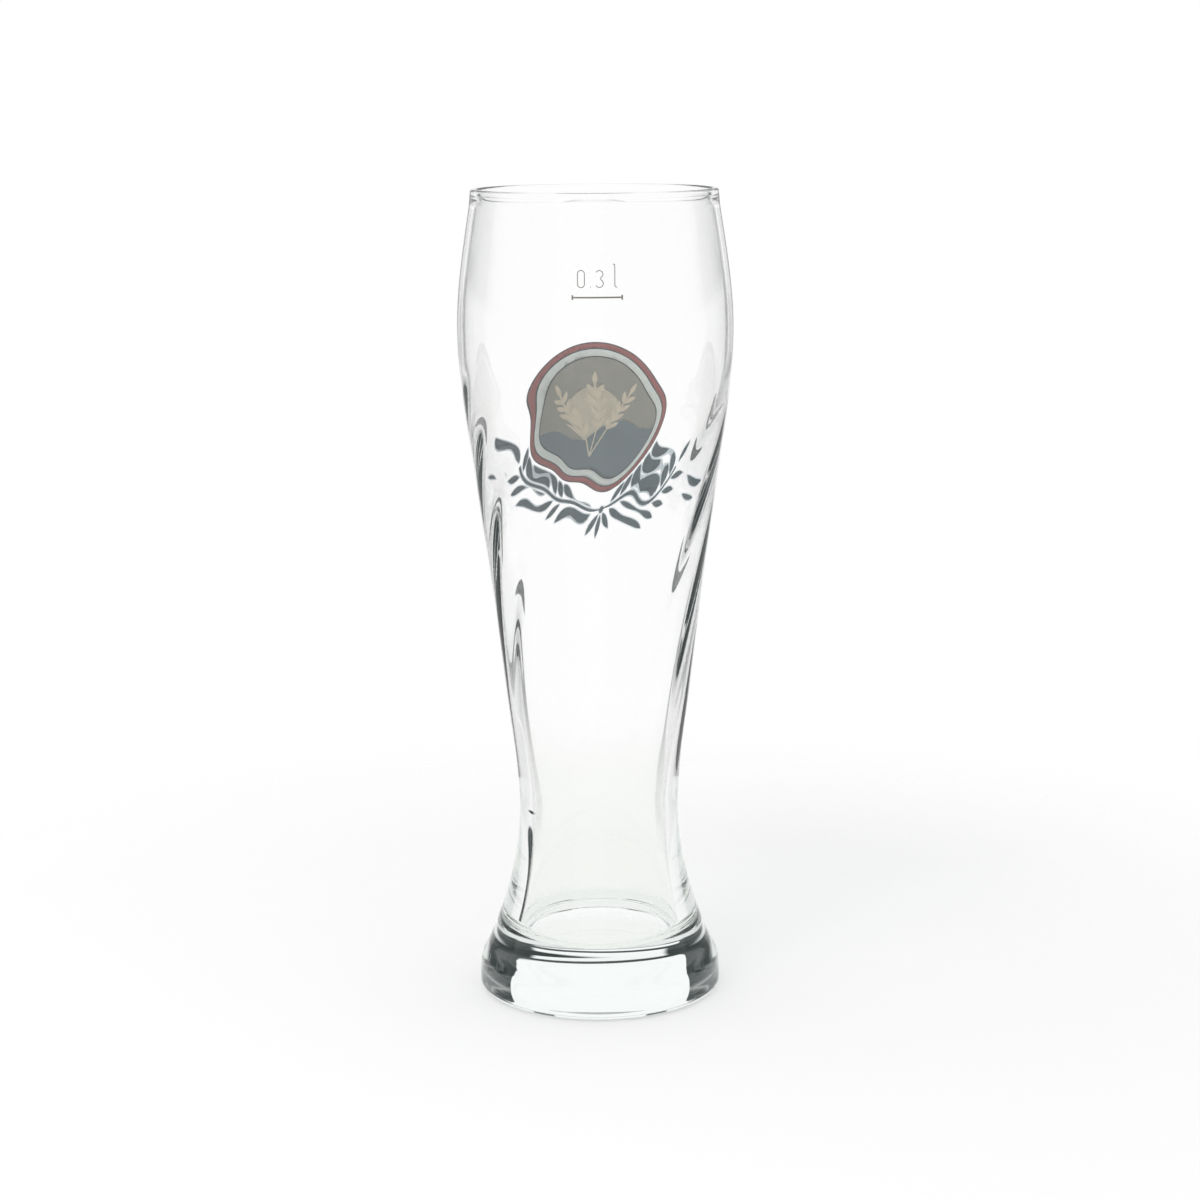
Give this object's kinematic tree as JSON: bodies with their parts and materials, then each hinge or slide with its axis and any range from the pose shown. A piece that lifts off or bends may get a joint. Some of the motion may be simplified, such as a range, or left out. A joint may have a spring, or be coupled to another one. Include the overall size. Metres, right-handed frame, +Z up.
{
  "type": "weizen glass",
  "caption": "Tall footed wheat beer glass with a narrow waist, a flared bowl, a thick solid foot, twisted optic ribs inside and fired ink decoration.",
  "frame": {"origin": "on the table, under the middle of the foot", "axes": "+Z up along the axis of the glass; -Y is the front with the fill line, +Y the side with the badge"},
  "size_m": [0.0668, 0.0668, 0.199],
  "materials": {
    "clear_glass": "fire polished",
    "ink_grey": "fired satin enamel",
    "ink_dark": "fired satin enamel",
    "ink_red": "fired satin enamel",
    "ink_silver": "fired satin enamel",
    "ink_taupe": "fired satin enamel",
    "ink_straw": "fired satin enamel",
    "ink_slate": "fired satin enamel",
    "ink_beige": "fired satin enamel",
    "ink_teal": "fired satin enamel",
    "ink_pale": "fired satin enamel"
  },
  "bodies": {
    "root": {"glass_body": "clear_glass", "fill_line": "ink_grey", "badge_key_lines": "ink_dark", "badge_border": "ink_red", "badge_band": "ink_silver", "badge_sky": "ink_taupe", "badge_sun": "ink_straw", "badge_hills": "ink_slate", "badge_ears": "ink_beige", "wreath_leaves": "ink_teal", "wreath_halo": "ink_pale"}
  },
  "joints": []
}
